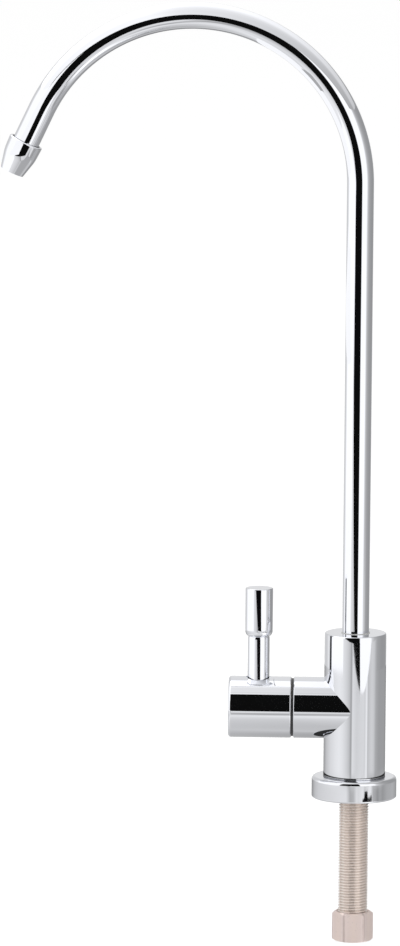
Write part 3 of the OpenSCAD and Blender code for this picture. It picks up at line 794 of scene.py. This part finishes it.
def room():
    """White world for the camera; metal sees a light tent, open and dark towards the camera."""
    bright, soft, white = 1.10, 0.72, (1, 1, 1, 1)
    world = bpy.data.worlds.new("light_tent")
    SCENE.world = world
    world.use_nodes = True
    tree = world.node_tree
    tree.nodes.clear()
    place = add(tree, "ShaderNodeTexCoord")
    split = add(tree, "ShaderNodeSeparateXYZ")
    tree.links.new(place.outputs["Generated"], split.inputs[0])
    bearing = bearing_of(tree, split.outputs[0], split.outputs[1])
    walls = ramp(tree, around(tree, bearing), bearings(
        (-180, 0.78), (-160, 0.66), (-135, 0.64), (-118, 0.85), (-110, bright), (-39, bright),
        (-37.5, DARK), (16.5, DARK), (18, bright), (60, bright), (66, 0.68), (78, 0.47), (92, 0.38),
        (115, 0.33), (150, 0.33), (170, 0.60), (180, 0.78),
    ))
    rays = add(tree, "ShaderNodeLightPath")
    lit = mix(tree, rays.outputs["Is Glossy Ray"], backdrop(tree, white, soft), backdrop(tree, walls))
    output = add(tree, "ShaderNodeOutputWorld")
    seen = mix(tree, rays.outputs["Is Camera Ray"], lit, backdrop(tree, white))
    tree.links.new(seen, output.inputs[0])


def stage(name, mesh, material, seen=("glossy",)):
    """Adds a mesh to the scene, for some kinds of ray; most stage pieces show only in the metal."""
    mesh.materials.append(material)
    made = bpy.data.objects.new(name, mesh)
    SCENE.collection.objects.link(made)
    for ray in ("camera", "diffuse", "glossy", "shadow", "transmission"):
        setattr(made, "visible_" + ray, ray in seen)


def flat_card(name, corners, material, **seen):
    """A flat stage piece."""
    mesh = bpy.data.meshes.new(name)
    mesh.from_pydata(corners, [], [range(len(corners))])
    stage(name, mesh, material, **seen)


def ring_card(name, inner, outer, material):
    """A round stage piece between two (radius, height) circles."""
    bm = bmesh.new()
    join_rings(bm, [circle(bm, *inner), circle(bm, *outer)])
    mesh = bpy.data.meshes.new(name)
    bm.to_mesh(mesh)
    bm.free()
    stage(name, mesh, material)


def stage_material(name):
    """An empty material for the stage: its tree, output and world position."""
    made = bpy.data.materials.new(name)
    made.use_nodes = True
    tree = made.node_tree
    tree.nodes.clear()
    output = add(tree, "ShaderNodeOutputMaterial")
    geometry = add(tree, "ShaderNodeNewGeometry")
    split = add(tree, "ShaderNodeSeparateXYZ")
    tree.links.new(geometry.outputs["Position"], split.inputs[0])
    return made, tree, output, split.outputs


def clear(tree):
    """A see-through shader's output."""
    return add(tree, "ShaderNodeBsdfTransparent").outputs[0]


def one_sided(tree, output, shader):
    """Shows a shader on the front of a stage piece, whose back is see-through."""
    geometry = add(tree, "ShaderNodeNewGeometry")
    tree.links.new(mix(tree, geometry.outputs["Backfacing"], shader, clear(tree)), output.inputs[0])


def card_material(name, *stops):
    """A card that shows on one side only, of one grey or of greys at bearings round the column."""
    made, tree, output, (x, y, _) = stage_material(name)
    grey = stops[0]
    if len(stops) > 1:
        grey = ramp(tree, around(tree, bearing_of(tree, x, y)), bearings(*stops))
    one_sided(tree, output, unlit(tree, grey))
    return made


def floor_corners(height):
    """The round floor's edge."""
    return [(FLOOR_R * math.cos(a), FLOOR_R * math.sin(a), height) for a in turns(FLOOR_SIDES)]


def floor():
    """Plain white floor that keeps the shadow; it lies clear below the lowered nut."""
    paint_grey, glow_grey = 0.78, 0.42
    made, tree, output, _ = stage_material("white_floor")
    paint = add(tree, "ShaderNodeBsdfDiffuse")
    paint.inputs["Color"].default_value = (paint_grey, paint_grey, paint_grey, 1)
    white = add(tree, "ShaderNodeAddShader")
    tree.links.new(paint.outputs[0], white.inputs[0])
    tree.links.new(unlit(tree, glow_grey), white.inputs[1])
    one_sided(tree, output, white.outputs[0])
    edge = floor_corners(FLOOR_Z - NUT_DROP)
    flat_card("floor", edge, made, seen=("camera", "diffuse", "shadow", "transmission"))


def floor_tone(tree, bearing, reach):
    """The floor's painted light and shade in the metal, as greys: near, middle and far rings of them, which blend
    into each other.
    """
    # Painted light on all three rings: broadly lighter to the left and darker to the right.
    place = around(tree, bearing)
    # A painted glint, far over white, at bearings 25 to 60 degrees close to the tap.
    near_tones = ramp(tree, place, bearings(
        (-180, 0.55), (-120, 0.72), (-76, 0.90), (-50, 0.85), (-15, 0.83), (0, 0.90), (15, 0.84),
        (25, 1.2), (38, 1.45), (60, 1.45), (70, 0.80), (86, 0.68), (126, 0.64), (180, 0.55),
    ))
    # Painted shadow: the near tones are darker close to the tap.
    dimmed = ramp(tree, reach, [
        (0.0, 0.68), (0.05, 0.68), (0.07, 0.71), (0.112, 0.78), (0.19, 1.0), (1.0, 1.0),
    ])
    near = sums(tree, "MULTIPLY", near_tones, dimmed)
    middle = ramp(tree, place, bearings(
        (-180, 0.22), (-150, 0.35), (-130, 0.56), (-110, 0.66), (-90, 0.70), (-60, 0.74), (-36, 0.79),
        (-20, 0.80), (-14, 0.62), (-9, 0.43), (0, 0.50), (4, 0.64), (8, 0.79), (12, 0.74), (25, 0.84),
        (29, 0.64), (38, 0.80), (46, 0.86), (50, 0.66), (53, 0.45), (60, 0.40), (67, 0.31), (75, 0.39),
        (84, 0.33), (100, 0.42), (130, 0.46), (180, 0.22),
    ))
    far = ramp(tree, place, bearings(
        (-180, 0.22), (-138, 0.46), (-129, 0.57), (-113, 0.657), (-101, 0.738), (-90, 0.778), (-75, 0.843),
        (-58, 0.89), (-45, 0.835), (-37, 0.77), (-29, 0.70), (-21, 0.60), (-17, 0.53), (-14, 0.39),
        (-10.5, 0.44), (-8, 0.80), (0, 0.74), (8, 0.69), (23, 0.73), (35, 0.745), (38.5, 0.67),
        (42.4, 0.82), (46.8, 0.94), (49.8, 0.56), (58.7, 0.64), (67, 0.686), (76, 0.63), (81, 0.534),
        (86, 0.43), (102, 0.361), (138, 0.36), (180, 0.22),
    ))
    to_middle = ramp(tree, reach, [(0.20, 0.0), (0.25, 1.0)])
    to_far = ramp(tree, reach, [(0.335, 0.0), (0.37, 1.0)])
    tone = sums(tree, "MULTIPLY_ADD", sums(tree, "SUBTRACT", middle, near), to_middle, near)
    return sums(tree, "MULTIPLY_ADD", sums(tree, "SUBTRACT", far, middle), to_far, tone)


def mirrored_floor():
    """The floor as the metal sees it: its painted light and shade, its front edge and the dark room beyond that
    edge.
    """
    tent_r, front_y, front_slope = 0.60, -0.622, 0.52
    ahead_middle, ahead_half, dark_left = math.radians(22.5), math.radians(67.5), math.radians(-39)
    dark_right_x, dark_right_slope = 0.125, 0.122
    made, tree, output, (x, y, _) = stage_material("floor_tones")
    bearing = bearing_of(tree, x, y)
    squares = sums(tree, "ADD", sums(tree, "MULTIPLY", x, x), sums(tree, "MULTIPLY", y, y))
    reach = sums(tree, "SQRT", squares)

    front = sums(tree, "MULTIPLY", x, front_slope)
    to_front = sums(tree, "SUBTRACT", sums(tree, "SUBTRACT", y, front_y), front)
    ahead = sums(tree, "COMPARE", bearing, ahead_middle, ahead_half)
    aside = sums(tree, "SUBTRACT", 1.0, ahead)
    front_part = sums(tree, "MULTIPLY", ahead, to_front)
    side_part = sums(tree, "MULTIPLY", aside, sums(tree, "SUBTRACT", tent_r, reach))
    outside = sums(tree, "LESS_THAN", sums(tree, "ADD", front_part, side_part), 0.0)

    dark_right = sums(tree, "SUBTRACT", dark_right_x, sums(tree, "MULTIPLY", y, dark_right_slope))
    beyond = sums(tree, "LESS_THAN", to_front, 0.0)
    left_of = sums(tree, "LESS_THAN", x, dark_right)
    right_of = sums(tree, "GREATER_THAN", bearing, dark_left)
    dark = sums(tree, "MULTIPLY", sums(tree, "MULTIPLY", beyond, left_of), right_of)

    lit = mix(tree, outside, unlit(tree, floor_tone(tree, bearing, reach)), clear(tree))
    one_sided(tree, output, mix(tree, dark, lit, unlit(tree, DARK)))
    flat_card("floor_tones", floor_corners(FLOOR_Z), made)


def ceiling():
    """Diffuser just over the spout, seen only in the metal; its light falls off to the right."""
    front, back, left, right, height = -0.21, 0.21, -0.30, 0.25, 0.345
    made, tree, output, (x, y, _) = stage_material("diffuser")
    along = sums(tree, "DIVIDE", sums(tree, "SUBTRACT", y, front), back - front)
    across = sums(tree, "DIVIDE", sums(tree, "SUBTRACT", x, left), right - left)
    depth = ramp(tree, along, [
        (0.0, 1.05), (0.03, 0.97), (0.11, 0.75), (0.17, 0.85), (0.25, 0.84), (0.38, 0.84), (0.46, 0.92),
        (0.54, 1.20), (1.0, 1.20),
    ])
    width = ramp(tree, across, [
        (0.37, 1.25), (0.41, 1.06), (0.46, 0.98), (0.50, 0.92), (0.545, 0.85), (0.62, 0.74), (0.73, 0.62),
        (1.0, 0.50),
    ])
    tree.links.new(unlit(tree, sums(tree, "MULTIPLY", depth, width)), output.inputs[0])
    corners = [(left, front, height), (right, front, height), (right, back, height), (left, back, height)]
    flat_card("ceiling_diffuser", corners, made)


def white_cards():
    """White cards, seen only in the metal: a screen left of the open front and a sheet under the spout."""
    white = card_material("white_card", 1.05)
    right, left, ahead, low, high = -0.19, -1.0, -0.243, 0.185, 0.34
    screen = [(right, ahead, low), (left, ahead, low), (left, ahead, high), (right, ahead, high)]
    flat_card("left_screen", screen, white)
    left, right, front, back, level = -0.40, -0.092, -0.04, 0.25, 0.15
    sheet = [(left, front, level), (right, front, level), (right, back, level), (left, back, level)]
    flat_card("spout_sheet", sheet, white)


def dark_cards():
    """Dark cards, seen only in the metal: a stand on the floor, and shades by the lever and the spout."""
    black = card_material("black_card", DARK)
    bearing, lift = math.radians(33.5), 0.5 * MM
    ahead = Vector((math.sin(bearing), -math.cos(bearing), 0))
    across = Vector((math.cos(bearing), math.sin(bearing), 0))
    up = Vector((0, 0, FLOOR_Z + lift))
    stand = [(0.299, -0.055), (0.313, -0.052), (0.317, -0.028), (0.333, -0.024), (0.333, 0.022),
             (0.317, 0.026), (0.313, 0.085), (0.299, 0.090)]
    flat_card("stand", [ahead * a + across * b + up for a, b in stand], black)

    beside, front, back = LEVER_X + GRIP_R + 0.6 * MM, -3.3 * MM, 0.1 * MM
    low, high = LEVER_FOOT + 1.5 * MM, LEVER_TOP
    strip = [(beside, front, low), (beside, back, low), (beside, back, high), (beside, front, high)]
    flat_card("lever_shade", strip, black)

    left, right, front, back, low, high = -0.112, -0.078, -0.058, -0.002, 0.178, 0.2035
    shade = [(left, front, low), (right, front, high), (right, back, high), (left, back, low)]
    flat_card("spout_shade", shade, card_material("grey_card", 0.42))


def foot_cards():
    """Cards of painted shade that dim the corner where the column meets the flange, seen only in the metal; the
    ring at the foot has a bright stretch of painted reflection.
    """
    above, height, flange_edge, column_edge = 0.05 * MM, 0.55 * MM, 0.3 * MM, 0.4 * MM
    dim = card_material(
        "dim_card", (-90, 0.06), (-72, 0.16), (-55, 0.34), (-19, 0.38), (-17, 0.05), (4, 0.05), (6, 0.95),
        (31, 0.95), (35, 0.25), (60, 0.12), (90, 0.06),
    )
    ring_card("foot_shade", (BODY_R + above, FOOT_Z + height), (BODY_R + above, FOOT_Z + above), dim)
    level = FLANGE_TOP + above
    ring_card("flange_shade", (FLANGE_R - flange_edge, level), (BODY_R + column_edge, level),
              card_material("shade_card", 0.03))


def lamp():
    """One soft lamp overhead, which the metal doesn't mirror."""
    aim = Vector((0, 0, 0.1))
    data = bpy.data.lights.new("soft_lamp", "AREA")
    data.shape = "DISK"
    data.size = 1.2
    data.energy = 8.0
    made = bpy.data.objects.new("soft_lamp", data)
    made.location = (-0.35, -0.55, 1.6)
    made.rotation_euler = (aim - made.location).to_track_quat("-Z", "Y").to_euler()
    made.visible_glossy = False
    SCENE.collection.objects.link(made)


def camera():
    """Camera at the photograph's place: a long lens, a little above, turned and rolled to match it."""
    yaw, el, roll = CAMERA_YAW, CAMERA_EL, CAMERA_ROLL
    ahead = Vector((-math.sin(yaw) * math.cos(el), math.cos(yaw) * math.cos(el), -math.sin(el)))
    right = Vector((math.cos(yaw), math.sin(yaw), 0))
    up = right.cross(ahead)
    side = right * math.cos(roll) + up * math.sin(roll)
    head = up * math.cos(roll) - right * math.sin(roll)
    metres_per_px = CAMERA_DISTANCE / FOCAL_PX
    aim = SEEN_POINT - side * (SEEN_PIXEL[0] - IMAGE_W / 2) * metres_per_px
    aim += head * (SEEN_PIXEL[1] - IMAGE_H / 2) * metres_per_px
    data = bpy.data.cameras.new("camera")
    data.sensor_fit = "AUTO"
    data.sensor_width = SENSOR_MM
    data.lens = SENSOR_MM * FOCAL_PX / IMAGE_H
    data.clip_start, data.clip_end = 0.1, 100
    made = bpy.data.objects.new("camera", data)
    turn = Matrix((side, head, -ahead)).transposed().to_4x4()
    made.matrix_world = Matrix.Translation(aim - ahead * CAMERA_DISTANCE) @ turn
    SCENE.collection.objects.link(made)
    SCENE.camera = made


SCENE.view_settings.view_transform = "Standard"
dress_cad_nodes()
polished_body()
polished_flange()
threaded_shank()
polished_knob()
polished_lever()
gooseneck_tube()
outlet_nozzle()
hex_nut()
room()
floor()
mirrored_floor()
ceiling()
white_cards()
dark_cards()
foot_cards()
lamp()
camera()
